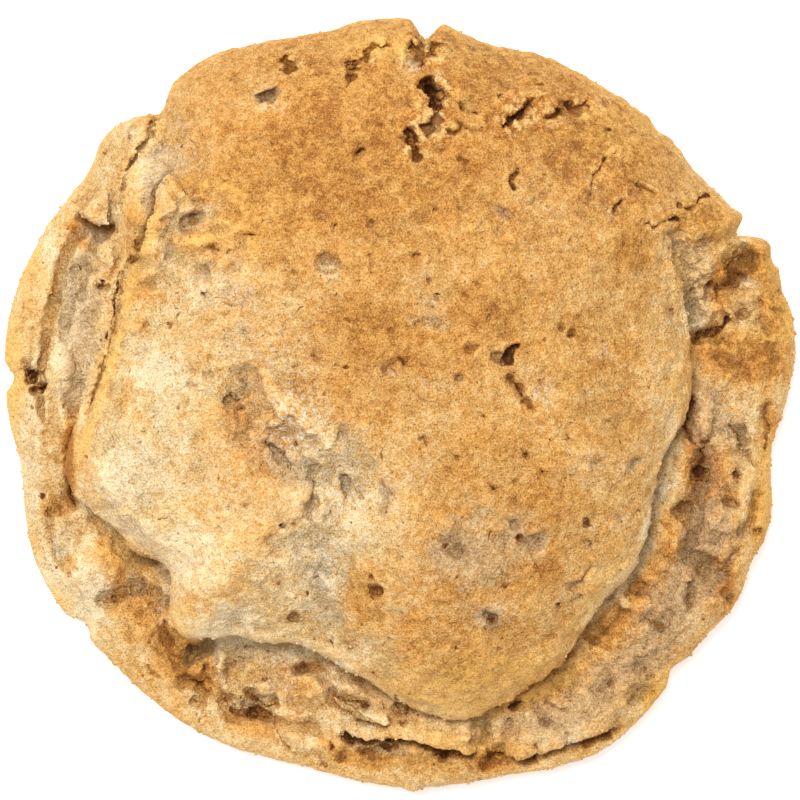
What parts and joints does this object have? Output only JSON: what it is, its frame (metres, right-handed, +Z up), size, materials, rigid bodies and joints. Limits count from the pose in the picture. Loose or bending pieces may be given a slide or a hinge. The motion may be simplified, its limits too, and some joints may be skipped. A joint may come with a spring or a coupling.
{
  "type": "oatmeal cream pie",
  "caption": "Thick soft oatmeal cookie baked in one piece, with a tall browned crown that overhangs a wavy layered skirt, and a flat base.",
  "frame": {"origin": "middle of the bounding box at the flat base", "axes": "+Z up, +X the longest way across, +Y towards the side where the crown runs out over the edge"},
  "size_m": [0.1133, 0.1102, 0.028],
  "materials": {
    "baked_oat_dough": "matt baked oatmeal dough, golden brown on the crown, paler on the skirt, dark brown in its cracks"
  },
  "bodies": {
    "root": {"cookie": "baked_oat_dough"}
  },
  "joints": []
}
